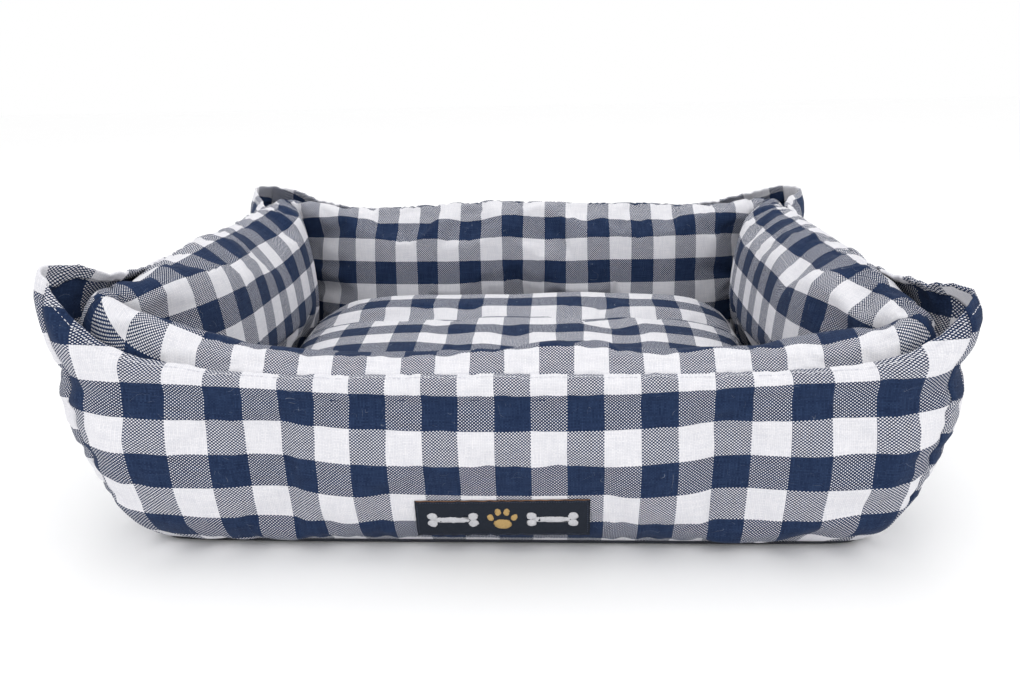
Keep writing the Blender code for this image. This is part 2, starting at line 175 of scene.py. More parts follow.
class Wall:
    """The form of one wall. A station runs along it from -1 to 1, from mitre to mitre."""

    def __init__(self, name):
        self.name = name
        kind, self.along, self.outward, self.half, self.distance, rise, corners = WALLS[name]
        self.kind = kind
        self.seed = 10 + list(WALLS).index(name)
        self.ears = [EARS[c] for c in corners]
        self.reach = self.half_length(16 * MM)
        columns = 2 * int(self.reach / STEP) + 1
        self.cut = np.linspace(-self.reach, self.reach, columns)
        self.station = self.cut / self.reach
        middle, along = spline([(inset, height * rise) for inset, height in MIDDLE])
        # The zip coil lies where the frame's slider stands on the section.
        low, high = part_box(f"{name}_zip_slider")
        across = 1 if self.outward[0] == 0 else 0
        centre = np.array([self.distance - abs(low[across] + high[across]) / 2, (low[2] + high[2]) / 2])
        nearest = np.argmin(np.linalg.norm(middle - centre, axis=1))
        self.coil, self.coil_inset = along[nearest], middle[nearest, 0]
        self.middle, self.middle_along = middle, along

    def on_middle(self, distance, lift):
        """Points of the middle section at distances along it, lifted off it."""
        distance, lift = np.asarray(distance, float), np.asarray(lift, float)[:, None]
        at = np.stack([np.interp(distance, self.middle_along, c) for c in self.middle.T], axis=-1)
        ahead, behind = (
            np.stack([np.interp(distance + step, self.middle_along, c) for c in self.middle.T], axis=-1)
            for step in (MM, -MM)
        )
        run = (ahead - behind) / np.linalg.norm(ahead - behind, axis=1, keepdims=True)
        return at + np.stack([-run[:, 1], run[:, 0]], axis=-1) * lift

    def profile(self, middle, corner, rows, climb):
        """Sections of every column: the middle's, turning into the corner's as the hem climbs."""
        middle = even(middle, rows)
        sides = []
        for ear in self.ears:
            scale = (ear - WAIST) / (EAR_TIP - WAIST)
            knots = [(i, WAIST + (h - WAIST) * scale if h > WAIST else h) for i, h in corner]
            sides.append(even(spline(knots)[0], rows))
        corner = np.where(self.station[:, None, None] < 0, sides[0], sides[1])
        blend = climb[:, None, None]
        sections = middle * (1 - blend) + corner * blend
        roll = 0.018 * waves(self.cut, self.seed, 3, 0.33) * (1 - self.station**4)
        # The top rolls up and down, but not beside the zip, so that its slider runs straight.
        from_coil = smooth(np.abs(sections[..., 0] - self.coil_inset) / (24 * MM))
        sections[..., 1] *= 1 + roll[:, None] * smooth(sections[..., 1] / 0.1) * from_coil
        return sections

    def radius(self, inset):
        return np.maximum(EAR_RADIUS - inset, SEAM_RADIUS)

    def half_length(self, inset):
        """Distance from the middle of the wall to its mitre, along the wall at an inset."""
        radius = self.radius(inset)
        return self.half - inset - radius + radius * math.pi / 4

    def place(self, along, inset, height):
        """Points of the bed at a signed distance along the wall, an inset and a height."""
        radius = self.radius(inset)
        straight = self.half - inset - radius
        angle = np.clip((np.abs(along) - straight) / radius, 0, math.pi / 4)
        reach = np.minimum(np.abs(along), straight) + radius * np.sin(angle)
        distance = self.distance - inset - radius * (1 - np.cos(angle))
        reach = reach * np.sign(along)
        x = self.along[0] * reach + self.outward[0] * distance
        y = self.along[1] * reach + self.outward[1] * distance
        return np.stack([x, y, height], axis=-1)


def heights_of(sections):
    """Distance up every column of sections."""
    steps = np.linalg.norm(np.diff(sections, axis=1), axis=2)
    return np.concatenate([np.zeros((len(sections), 1)), np.cumsum(steps, axis=1)], axis=1)


def outer_grid(wall, rows=OUTER_ROWS):
    """Outer cloth from the bottom seam up to the fold of its hem flap."""
    flap = np.array(FLAP[wall.kind]) * MM
    body = np.linspace(0, wall.coil + flap[0, 0], 40)[:-1]
    middle = np.vstack([
        wall.on_middle(body, np.zeros(len(body))),
        wall.on_middle(wall.coil + flap[:, 0], flap[:, 1]),
    ])
    sections = wall.profile(middle, OUTER_CORNER, rows, curve(np.abs(wall.station), CLIMB[wall.kind]))
    v = heights_of(sections)
    # The body keeps its full width up to the corners, and the sides' hem stands up beside the ears.
    share = (np.arange(rows) / (rows - 1))[None, :]
    beside = np.abs(wall.station[:, None])
    wide = smooth((beside - 0.5) / 0.42) * smooth(share / 0.24) * (1 - 0.35 * smooth((share - 0.6) / 0.3))
    sections[..., 0] -= 11 * MM * wide
    # The free hem ruffles, most of all along the sides.
    free = smooth((share - 0.84) / 0.16)
    if wall.kind == "side":
        forward = -wall.station[:, None] * wall.along[1]
        sections[..., 1] += 8 * MM * np.exp(-(((forward - 0.9) / 0.08) ** 2)) * free
    depth = {"front": 0.8, "side": 3.2, "back": 2.0}[wall.kind] * MM
    ruffle = depth * waves(wall.cut, wall.seed + 40, 5, 0.11)[:, None] * free
    ruffle = ruffle * smooth((1 - np.abs(wall.station)) / 0.08)[:, None]
    sections[..., 1] += np.abs(ruffle)
    sections[..., 0] -= ruffle * 0.7
    # The corner seam is drawn in, with short puckers that both of its panels share.
    to_seam = (1 - np.abs(wall.station[:, None])) * wall.reach
    draw = 2.5 * MM * np.exp(-to_seam / (6 * MM)) + pucker(v, to_seam)
    below = 1 - smooth((share - 0.7) / 0.1)
    sections[..., 0] += draw * below
    # Towards the bottom the plan is shorter than the cloth, which is taken up near the corners.
    across = np.repeat(wall.cut[:, None], rows, 1)
    surplus = wall.reach - wall.half_length(sections[..., 0])
    along = across - np.sign(across) * surplus * (np.abs(across) / wall.reach) ** 4
    points = wall.place(along, sections[..., 0], sections[..., 1])
    v = v - 22 * MM * np.abs(wall.station[:, None]) ** 2.2
    return points, np.stack([across, v], axis=-1)


def pucker(height, to_seam):
    """Short folds that run out from a corner seam, in metres inwards."""
    folds = np.sin(2 * np.pi * height / (17 * MM)) + 0.6 * np.sin(2 * np.pi * height / (29 * MM) + 1)
    return 1.6 * MM * folds * np.exp(-to_seam / (11 * MM))


def inner_grid(wall, rows=60):
    """Inner cloth from its fold beside the zip, over the top and down to the floor."""
    down = np.linspace(wall.coil + 4.8 * MM, wall.middle_along[-1], 90)
    end = (down[-1] - down[0]) / MM
    puff = {"front": 5.5, "side": 9, "back": 5}[wall.kind]
    lift = np.interp(
        (down - down[0]) / MM, [0, 3, 7, 9.5, 15, 32, end * 0.6, end * 0.85, end],
        [1.2, 2.0, 1.6, 0.2, 2.6, puff * 0.9, puff, puff * 0.5, 0],
    )
    middle = wall.on_middle(down, lift * MM)
    climb = {
        "front": ([0.5, 0.7, 0.8, 0.9, 0.95, 1], [0, 0.08, 0.2, 0.42, 0.66, 1]),
        "side": ([0.5, 0.7, 0.85, 1], [0, 0.15, 0.6, 1]),
        "back": ([0.5, 0.7, 0.85, 1], [0, 0.15, 0.6, 1]),
    }[wall.kind]
    sections = wall.profile(middle, INNER_CORNER, rows, curve(np.abs(wall.station), climb))
    inset, height = sections[..., 0], sections[..., 1]
    share = np.linspace(0, 1, rows)[None, :]
    along = wall.station[:, None] * wall.half_length(inset)
    # A crease along each mitre.
    to_mitre = wall.half_length(inset) - np.abs(along)
    sunk = 10 * MM * np.exp(-to_mitre / (13 * MM))
    inside = smooth((share - 0.25) / 0.2)
    v = heights_of(sections)
    points = wall.place(along, inset - sunk * inside, height - sunk * (1 - inside) * 0.5)
    # Across the cloth the measure is the true one, so the weave isn't stretched where it climbs.
    across = np.linalg.norm(np.diff(points, axis=0), axis=2)
    across = np.concatenate([np.zeros((1, rows)), np.cumsum(across, axis=0)])
    across -= across[len(points) // 2]
    return points, np.stack([across * 1.04, v[:, -1:] - v], axis=-1)


# ---------------------------------------------------------------- meshes and cloth

def link_mesh(name, vertices, faces, uv=None):
    """A linked mesh object; uv holds one pair for each vertex."""
    mesh = bpy.data.meshes.new(name)
    mesh.from_pydata([tuple(map(float, v)) for v in vertices], [], faces)
    if uv is not None:
        layer = mesh.uv_layers.new(name="cut")
        corner = np.zeros(len(mesh.loops), int)
        mesh.loops.foreach_get("vertex_index", corner)
        layer.data.foreach_set("uv", np.asarray(uv, np.float32)[corner].reshape(-1))
    obj = bpy.data.objects.new(name, mesh)
    bpy.context.scene.collection.objects.link(obj)
    obj.data.shade_smooth()
    return obj


def grid_faces(columns, rows, start=0, closed=False):
    """Quads between the points of a grid, whose rows are joined end to end when closed."""
    index = start + np.arange(columns * rows).reshape(columns, rows)
    if closed:
        index = np.vstack([index, index[:1]])
    quads = np.stack([index[:-1, :-1], index[1:, :-1], index[1:, 1:], index[:-1, 1:]], axis=-1)
    return quads.reshape(-1, 4).tolist()


class Panel:
    """A grid of cloth before it is made a mesh, with how firmly each point is held."""

    def __init__(self, name, points, uv, hold, grow=0.04, pressure=0.8, cap=8 * MM):
        self.name, self.points, self.uv, self.hold = name, points, uv, hold
        self.grow, self.pressure, self.cap = grow, pressure, cap

    def build(self, thickness=CLOTH, detail=0):
        columns, rows = self.points.shape[:2]
        obj = link_mesh(
            self.name, self.points.reshape(-1, 3), grid_faces(columns, rows), self.uv.reshape(-1, 2)
        )
        if detail:
            apply_modifier(obj, "SUBSURF", levels=detail, render_levels=detail)
        if thickness:
            apply_modifier(obj, "SOLIDIFY", thickness=thickness, offset=-1.0)
        obj.data.shade_smooth()
        return obj

    def normals(self):
        across = np.gradient(self.points, axis=0)
        up = np.gradient(self.points, axis=1)
        normal = np.cross(across, up)
        return normal / np.maximum(np.linalg.norm(normal, axis=2, keepdims=True), 1e-9)

    def at(self, column, row, lift=0.0):
        """Points of the cloth at fractional columns and rows, lifted off its face."""
        column, row = np.broadcast_arrays(np.asarray(column, float), np.asarray(row, float))
        columns, rows = self.points.shape[:2]
        i = np.clip(column.astype(int), 0, columns - 2)
        j = np.clip(row.astype(int), 0, rows - 2)
        a, b = (column - i)[..., None], (row - j)[..., None]
        field = self.points + lift * self.normals() if lift else self.points
        low = field[i, j] * (1 - a) + field[i + 1, j] * a
        high = field[i, j + 1] * (1 - a) + field[i + 1, j + 1] * a
        return low * (1 - b) + high * b


def select_only(obj):
    bpy.ops.object.select_all(action="DESELECT")
    obj.select_set(True)
    bpy.context.view_layer.objects.active = obj


def apply_modifier(obj, kind, **values):
    select_only(obj)
    modifier = obj.modifiers.new(kind.lower(), kind)
    for key, value in values.items():
        setattr(modifier, key, value)
    bpy.ops.object.modifier_apply(modifier=modifier.name)


def settle(panels, frames=20):
    """Runs all panels' cloth together: held points stay, and the rest fills out and buckles."""
    scene = bpy.context.scene
    scene.frame_start, scene.frame_end = 1, frames
    objects = []
    for panel in panels:
        obj = panel.build(thickness=0)
        objects.append(obj)
        group = obj.vertex_groups.new(name="hold")
        hold = np.round(panel.hold.reshape(-1), 2)
        for value in np.unique(hold):
            group.add(np.flatnonzero(hold == value).tolist(), float(value), "REPLACE")
        cloth = obj.modifiers.new("cloth", "CLOTH")
        cloth.point_cache.frame_start, cloth.point_cache.frame_end = 1, frames
        s = cloth.settings
        s.quality = 5
        s.mass = 0.25
        s.tension_stiffness = s.compression_stiffness = 20
        s.shear_stiffness = 6
        s.bending_stiffness = 0.6
        s.tension_damping = s.compression_damping = s.shear_damping = 10
        s.bending_damping = 1.0
        s.air_damping = 5
        s.vertex_group_mass = "hold"
        s.shrink_min = -panel.grow
        s.use_pressure = True
        s.uniform_pressure_force = panel.pressure
        s.effector_weights.gravity = 0
    for number in range(1, frames + 1):
        scene.frame_set(number)
    graph = bpy.context.evaluated_depsgraph_get()
    for panel, obj in zip(panels, objects):
        mesh = obj.evaluated_get(graph).data
        settled = np.zeros(len(mesh.vertices) * 3, np.float32)
        mesh.vertices.foreach_get("co", settled)
        moved = settled.reshape(panel.points.shape).astype(float) - panel.points
        far = np.linalg.norm(moved, axis=2, keepdims=True)
        panel.points = panel.points + moved * np.minimum(1, panel.cap / np.maximum(far, 1e-9))
        print(f"{panel.name}: moved {far.mean() / MM:.1f} mm, at most {far.max() / MM:.1f}")
        bpy.data.objects.remove(obj)
    scene.frame_set(1)


def held(shape, sides, soft):
    """How firmly a grid's points are held: wholly along its sewn sides, softly elsewhere."""
    hold = np.full(shape, soft)
    if "ends" in sides:
        hold[[0, -1], :] = 1
    if "low" in sides:
        hold[:, 0] = 1
    if "high" in sides:
        hold[:, -1] = 1
    return hold


def fold_under(panel, wall):
    """Adds the hem's turning: the cloth folds over its free edge and lies back under itself."""
    points, uv = panel.points, panel.uv
    edge, before = points[:, -1:], points[:, -3:-2]
    run = edge - before
    run /= np.linalg.norm(run, axis=2, keepdims=True)
    normal = panel.normals()[:, -1:]
    normal -= run * (normal * run).sum(axis=2, keepdims=True)
    normal /= np.linalg.norm(normal, axis=2, keepdims=True)
    radius = 1.25 * MM
    width = (6 + 14 * smooth((np.abs(wall.station) - 0.8) / 0.15))[:, None, None] * MM
    rows, places = [], []
    for degrees in (35, 80, 125, 165):
        angle = math.radians(degrees)
        rows.append(edge + radius * (run * math.sin(angle) - normal * (1 - math.cos(angle))))
        places.append(radius * angle + 0 * width)
    columns, count = np.arange(len(points)), points.shape[1]
    for share in (0.12, 0.35, 0.6, 0.8, 1.0):
        back = uv[:, -1, 1] - width[:, 0, 0] * share
        row = np.array([np.interp(v, column, np.arange(count)) for v, column in zip(back, uv[..., 1])])
        rows.append(panel.at(columns, row, -(2 * radius + 0.3 * MM * share))[:, None])
        places.append(radius * math.pi + width * share)
    panel.points = np.concatenate([points, *rows], axis=1)
    beyond = np.concatenate(places, axis=1)[..., 0]
    v = uv[:, -1:, 1] + beyond
    u = np.repeat(uv[:, -1:, 0], v.shape[1], 1)
    panel.uv = np.concatenate([uv, np.stack([u, v], axis=-1)], axis=1)


def tube(path, radius, sides=6, closed=False):
    """Vertices and quads of a tube round a path, with closed ends."""
    path = np.asarray(path, float)
    run = np.gradient(path, axis=0)
    if closed:
        run = np.roll(path, -1, axis=0) - np.roll(path, 1, axis=0)
    run /= np.maximum(np.linalg.norm(run, axis=1, keepdims=True), 1e-9)
    helper = np.where(np.abs(run[:, 2:3]) < 0.9, np.array([[0, 0, 1.0]]), np.array([[1.0, 0, 0]]))
    first = np.cross(run, helper)
    first /= np.linalg.norm(first, axis=1, keepdims=True)
    second = np.cross(run, first)
    angle = np.linspace(0, 2 * math.pi, sides, endpoint=False)
    radius = np.broadcast_to(radius, len(path))[:, None, None]
    ring = first[:, None] * np.cos(angle)[None, :, None] + second[:, None] * np.sin(angle)[None, :, None]
    vertices = (path[:, None] + ring * radius).reshape(-1, 3)
    rings = len(path) if closed else len(path) - 1
    faces = []
    for i in range(rings):
        for j in range(sides):
            a, b = i * sides + j, i * sides + (j + 1) % sides
            c, d = ((i + 1) % len(path)) * sides + (j + 1) % sides, ((i + 1) % len(path)) * sides + j
            faces.append((a, b, c, d))
    if not closed:
        faces.append(tuple(reversed(range(sides))))
        faces.append(tuple(range((len(path) - 1) * sides, len(path) * sides)))
    return vertices, faces


def stitches(name, path, normals, pitch=3.2 * MM, length=2.3 * MM, radius=0.32 * MM, sink=0.1 * MM):
    """A row of lockstitches along a path: short threads that dive into the cloth at both ends."""
    along = travelled(path)
    vertices, faces = [], []
    for start in np.arange(pitch, along[-1] - pitch, pitch):
        at = start + length * np.array([0, 0.2, 0.5, 0.8, 1.0])
        line = np.stack([np.interp(at, along, c) for c in path.T], axis=-1)
        out = np.stack([np.interp(at, along, c) for c in normals.T], axis=-1)
        line = line + out * (np.array([-0.9, 0.55, 0.9, 0.55, -0.9])[:, None] * radius - sink)
        points, quads = tube(line, radius * np.array([0.5, 0.9, 1, 0.9, 0.5]), 5)
        faces += [tuple(i + len(vertices) for i in quad) for quad in quads]
        vertices += points.tolist()
    obj = link_mesh(name, vertices, faces)
    return obj


def join_parts(name, parts, uv=None):
    """One mesh from (vertices, faces) pairs."""
    vertices, faces = [], []
    for points, quads in parts:
        faces += [tuple(i + len(vertices) for i in quad) for quad in quads]
        vertices += np.asarray(points).tolist()
    return link_mesh(name, vertices, faces, uv)


# ---------------------------------------------------------------- shader groups

class Graph:
    """Adds and joins the nodes of one tree."""

    def __init__(self, tree):
        self.tree = tree

    def node(self, kind, **values):
        made = self.tree.nodes.new(kind)
        for key, value in values.items():
            setattr(made, key, value)
        return made

    def feed(self, socket, value):
        if isinstance(value, bpy.types.NodeSocket):
            self.tree.links.new(value, socket)
        else:
            socket.default_value = value

    def math(self, operation, *values, clamp=False):
        made = self.node("ShaderNodeMath", operation=operation, use_clamp=clamp)
        for socket, value in zip(made.inputs, values):
            self.feed(socket, value)
        return made.outputs[0]

    def mix(self, share, a, b, mode="MIX"):
        made = self.node("ShaderNodeMix", data_type="RGBA", blend_type=mode)
        for socket, value in ((made.inputs[0], share), (made.inputs[6], a), (made.inputs[7], b)):
            self.feed(socket, value)
        return made.outputs[2]

    def noise(self, vector, scale, detail=2.0, distortion=0.0):
        made = self.node("ShaderNodeTexNoise")
        self.feed(made.inputs["Vector"], vector)
        made.inputs["Scale"].default_value = scale
        made.inputs["Detail"].default_value = detail
        made.inputs["Distortion"].default_value = distortion
        return made.outputs["Fac"]

    def spread(self, value, low, high, new_low, new_high):
        made = self.node("ShaderNodeMapRange")
        for key, number in (
            ("Value", value), ("From Min", low), ("From Max", high), ("To Min", new_low), ("To Max", new_high),
        ):
            self.feed(made.inputs[key], number)
        return made.outputs[0]

    def split(self, vector):
        made = self.node("ShaderNodeSeparateXYZ")
        self.feed(made.inputs[0], vector)
        return made.outputs[0], made.outputs[1]

    def join(self, x, y):
        made = self.node("ShaderNodeCombineXYZ")
        self.feed(made.inputs[0], x)
        self.feed(made.inputs[1], y)
        return made.outputs[0]

    def group(self, name, **values):
        made = self.node("ShaderNodeGroup", node_tree=bpy.data.node_groups[name])
        for key, value in values.items():
            self.feed(made.inputs[key.replace("_", " ")], value)
        return made.outputs

    def bump(self, height, distance, strength=0.6, normal=None):
        made = self.node("ShaderNodeBump")
        made.inputs["Strength"].default_value = strength
        made.inputs["Distance"].default_value = distance
        self.feed(made.inputs["Height"], height)
        if normal is not None:
            self.feed(made.inputs["Normal"], normal)
        return made.outputs[0]


def new_group(name, inputs, outputs):
    group = bpy.data.node_groups.new(name, "ShaderNodeTree")
    for label, kind, value in inputs:
        socket = group.interface.new_socket(label, in_out="INPUT", socket_type="NodeSocket" + kind)
        if value is not None:
            socket.default_value = value
    for label, kind in outputs:
        group.interface.new_socket(label, in_out="OUTPUT", socket_type="NodeSocket" + kind)
    source, sink = group.nodes.new("NodeGroupInput"), group.nodes.new("NodeGroupOutput")
    return Graph(group), source.outputs, sink.inputs


def weave_group():
    """Plain weave on cut cloth: which yarn lies on top, how high it stands, and each yarn's tone."""
    g, source, sink = new_group(
        "plain_weave",
        [("Cut", "Vector", None), ("Warp Pitch", "Float", 1.21 * MM), ("Weft Pitch", "Float", 1.06 * MM)],
        [("Over", "Float"), ("Height", "Float"), ("Warp Tone", "Float"), ("Weft Tone", "Float")],
    )
    x, y = g.split(source["Cut"])
    wander = g.math("MULTIPLY", g.math("SUBTRACT", g.noise(source["Cut"], 180.0), 0.5), 0.5 * MM)
    warp = g.math("DIVIDE", g.math("ADD", x, wander), source["Warp Pitch"])
    weft = g.math("DIVIDE", g.math("SUBTRACT", y, wander), source["Weft Pitch"])
    over = g.math(
        "MULTIPLY",
        g.math("SINE", g.math("MULTIPLY", warp, math.pi)),
        g.math("SINE", g.math("MULTIPLY", weft, math.pi)),
    )
    g.feed(sink["Over"], over)
    g.feed(sink["Height"], g.math("POWER", g.math("ABSOLUTE", over), 0.6))
    for label, yarn, other in (("Warp Tone", warp, weft), ("Weft Tone", weft, warp)):
        place = g.join(g.math("FLOOR", yarn), g.math("MULTIPLY", other, 0.06))
        g.feed(sink[label], g.noise(place, 1.37, 1.0))


def stripe_group():
    """Which yarns are dyed: stripes of equal width each way."""
    g, source, sink = new_group(
        "gingham_stripes",
        [("Cut", "Vector", None), ("Stripe", "Float", CHECK), ("Row Shift", "Float", 0.0),
         ("Column Shift", "Float", 0.0)],
        [("Warp Dyed", "Float"), ("Weft Dyed", "Float")],
    )
    for label, axis, shift in zip(("Warp Dyed", "Weft Dyed"), g.split(source["Cut"]), ("Column Shift", "Row Shift")):
        place = g.math("ADD", g.math("DIVIDE", axis, source["Stripe"]), source[shift])
        half = g.math("FRACT", g.math("MULTIPLY", g.math("ADD", place, 0.5), 0.5))
        g.feed(sink[label], g.math("LESS_THAN", half, 0.5))


def lint_group():
    """Stray fibres that lie on cloth: short bent hairs, as a mask."""
    g, source, sink = new_group("stray_fibres", [("Cut", "Vector", None)], [("Fibre", "Float")])
    total = None
    for scale, offset in ((34.0, 0.0), (61.0, 3.1)):
        x, y = g.split(source["Cut"])
        place = g.join(g.math("ADD", x, offset), y)
        line = g.math("ABSOLUTE", g.math("SUBTRACT", g.noise(place, scale, 0.0, 1.5), 0.5))
        thin = g.spread(line, 0.0012, 0.0022, 1.0, 0.0)
        some = g.spread(g.noise(place, scale * 2.3, 0.0), 0.60, 0.66, 0.0, 1.0)
        hairs = g.math("MULTIPLY", thin, some)
        total = hairs if total is None else g.math("MAXIMUM", total, hairs)
    g.feed(sink["Fibre"], total)


NAVY = (0.0095, 0.021, 0.060, 1)
NAVY_WORN = (0.022, 0.042, 0.100, 1)
WHITE = (0.84, 0.83, 0.86, 1)
WHITE_DULL = (0.72, 0.72, 0.765, 1)


def new_material(name):
    material = bpy.data.materials.new(name)
    material.use_nodes = True
    return material, Graph(material.node_tree), material.node_tree.nodes["Principled BSDF"]


def gingham(name, row_shift=0.0, column_shift=0.0):
    """Yarn-dyed cotton: navy and white yarns in a plain weave."""
    material, g, shader = new_material(name)
    cut = g.node("ShaderNodeUVMap", uv_map="cut").outputs[0]
    weave = g.group("plain_weave", Cut=cut)
    stripes = g.group("gingham_stripes", Cut=cut, Row_Shift=row_shift, Column_Shift=column_shift)
    yarns = []
    for dyed, tone in (("Warp Dyed", "Warp Tone"), ("Weft Dyed", "Weft Tone")):
        shade = g.spread(weave[tone], 0.32, 0.68, 0.0, 1.0)
        plain = g.mix(shade, WHITE_DULL, WHITE)
        navy = g.mix(shade, NAVY, NAVY_WORN)
        yarns.append(g.mix(stripes[dyed], plain, navy))
    # Dyed yarns are fuller than white ones, the wefts most of all, so they cover more where both cross; the extra
    # cover is also painted shade, standing in for the white yarn darkening where it dives under the dyed one.
    warp, weft = stripes["Warp Dyed"], stripes["Weft Dyed"]
    cover = g.math("SUBTRACT", g.math("MULTIPLY", weft, 0.40), g.math("MULTIPLY", warp, 0.16))
    cover = g.math("MULTIPLY", cover, g.math("ABSOLUTE", g.math("SUBTRACT", warp, weft)))
    top = g.spread(g.math("SUBTRACT", weave["Over"], cover), -0.1, 0.1, 0.0, 1.0)
    colour = g.mix(top, yarns[1], yarns[0])
    # Painted shade: the colour is darkened between the yarns, where they dip down and shade falls.
    painted_gap_shade = g.spread(weave["Height"], 0.0, 0.4, 0.78, 1.0)
    colour = g.mix(1.0, colour, painted_gap_shade, "MULTIPLY")
    colour = g.mix(g.math("MULTIPLY", g.group("stray_fibres", Cut=cut)["Fibre"], 0.35), colour, (0.5, 0.55, 0.63, 1))
    g.feed(shader.inputs["Base Color"], colour)
    g.feed(shader.inputs["Roughness"], g.spread(weave["Height"], 0, 1, 0.95, 0.8))
    shader.inputs["Sheen Weight"].default_value = 0.04
    shader.inputs["Sheen Roughness"].default_value = 0.5
    shader.inputs["Specular IOR Level"].default_value = 0.12
    soft = g.bump(g.noise(cut, 95.0, 3.0), 1.2 * MM, 0.5)
    g.feed(shader.inputs["Normal"], g.bump(weave["Height"], 0.25 * MM, 0.55, soft))
    return material


def fine_material(name, light, dark, roughness, grain, metallic=0.0, scale=900.0, stretch=(1, 1, 1)):
    """One substance with fine variation in tone, gloss and surface."""
    material, g, shader = new_material(name)
    place = g.node("ShaderNodeMapping")
    g.feed(place.inputs["Vector"], g.node("ShaderNodeTexCoord").outputs["Object"])
    place.inputs["Scale"].default_value = stretch
    place = place.outputs[0]
    fine = g.noise(place, scale, 3.0)
    broad = g.noise(place, scale / 12, 3.0)
    g.feed(shader.inputs["Base Color"], g.mix(g.spread(g.math("ADD", fine, broad), 0.7, 1.3, 0, 1), dark, light))
    g.feed(shader.inputs["Roughness"], g.spread(broad, 0.3, 0.7, roughness * 0.8, min(1, roughness * 1.15)))
    shader.inputs["Metallic"].default_value = metallic
    g.feed(shader.inputs["Normal"], g.bump(fine, grain))
    return material


def ribbed(name, light, dark, across, rib, up=None, roughness=0.75):
    """Woven tape or thread with ribs over its cut; across is the axis that the ribs repeat along."""
    material, g, shader = new_material(name)
    cut = g.node("ShaderNodeUVMap", uv_map="cut").outputs[0]
    x, y = g.split(cut)
    first, second = (x, y) if across == "x" else (y, x)
    wave = g.math("SINE", g.math("MULTIPLY", first, 2 * math.pi / rib))
    if up:
        wave = g.math("MULTIPLY", wave, g.math("SINE", g.math("MULTIPLY", second, 2 * math.pi / up)))
    height = g.spread(wave, -1, 1, 0, 1)
    # The colour is darker in the ribs' troughs and lighter on their crests: painted shade and painted highlight,
    # with random tone added.
    tone = g.math("ADD", g.math("MULTIPLY", height, 0.6), g.math("MULTIPLY", g.noise(cut, 700.0), 0.5))
    g.feed(shader.inputs["Base Color"], g.mix(g.spread(tone, 0.1, 0.9, 0, 1), dark, light))
    g.feed(shader.inputs["Roughness"], g.spread(height, 0, 1, min(1, roughness * 1.15), roughness))
    shader.inputs["Specular IOR Level"].default_value = 0.2
    g.feed(shader.inputs["Normal"], g.bump(height, 0.15 * MM, 0.5))
    return material


weave_group()
stripe_group()
lint_group()
THREAD = fine_material("white_thread", (0.85, 0.85, 0.88, 1), (0.62, 0.63, 0.7, 1), 0.6, 0.05 * MM, scale=2500)
TAPE = ribbed("zip_tape_cloth", (0.03, 0.05, 0.12, 1), (0.008, 0.014, 0.04, 1), "x", 1.1 * MM, 0.9 * MM)
COIL_PLASTIC = fine_material("coil_nylon", (0.03, 0.045, 0.10, 1), (0.012, 0.02, 0.05, 1), 0.32, 0.02 * MM)
NICKEL = fine_material(
    "nickel_plate", (0.62, 0.62, 0.63, 1), (0.42, 0.42, 0.44, 1), 0.24, 0.02 * MM, 1.0, 700, (1, 1, 6)
)
GRIP = fine_material("grip_cloth", (0.03, 0.035, 0.05, 1), (0.012, 0.014, 0.02, 1), 0.7, 0.15 * MM, scale=1400)
RUBBER = fine_material("grip_dots", (0.05, 0.055, 0.07, 1), (0.03, 0.033, 0.04, 1), 0.5, 0.04 * MM)


def keep_as(node, material):
    """Gives a node of the frame its finish."""
    for item in bpy.data.objects:
        if item.type == "MESH" and item.name.split(".")[0] == node:
            for slot in item.material_slots:
                slot.material = material


# ---------------------------------------------------------------- build: walls

walls = {name: Wall(name) for name in WALLS}
outer, inner = {}, {}
for name, wall in walls.items():
    points, uv = outer_grid(wall)
    hold = held(points.shape[:2], ("ends", "low"), 0.05)
    hold[:, -9:] = np.maximum(hold[:, -9:], 0.35)
    if name == "front":
        stiff = smooth((85 * MM - np.abs(wall.cut[:, None])) / (15 * MM))
        hold = np.maximum(hold, 0.9 * stiff * smooth((70 * MM - uv[..., 1]) / (14 * MM)))
    outer[name] = Panel(f"{name}_outer_cover", points, uv, hold, 0.03, 0.5, 6 * MM)
    points, uv = inner_grid(wall)
    hold = held(points.shape[:2], ("ends", "low", "high"), 0.03)
    hold[:, :6] = np.maximum(hold[:, :6], 0.5)
    inner[name] = Panel(f"{name}_inner_cover", points, uv, hold, 0.05, 0.8, 8 * MM)


def superellipse_grid(half_x, half_y, corner, cells):
    """A square grid of plan points that fills a rectangle with round corners."""
    s = np.linspace(-1, 1, cells)
    a, b = np.meshgrid(s, s, indexing="ij")
    m = np.maximum(np.abs(a), np.abs(b))
    safe = np.maximum(m, 1e-9)
    x, y = half_x * a / safe, half_y * b / safe
    core_x, core_y = np.clip(x, -half_x + corner, half_x - corner), np.clip(y, -half_y + corner, half_y - corner)
    dx, dy = x - core_x, y - core_y
    long = np.maximum(np.hypot(dx, dy), 1e-9)
    x, y = core_x + dx / long * corner, core_y + dy / long * corner
    return x * m, y * m, m


# The cushion: two covers that meet in a seam round its rim.
low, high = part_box("cushion_fill")
cover_low, cover_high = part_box("cushion_cover_top")[0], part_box("cushion_cover_top")[1]
bottom_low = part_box("cushion_cover_bottom")[0].z
half_x, half_y = cover_high.x, cover_high.y
rim, crown = (cover_low.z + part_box("cushion_cover_bottom")[1].z) / 2, cover_high.z


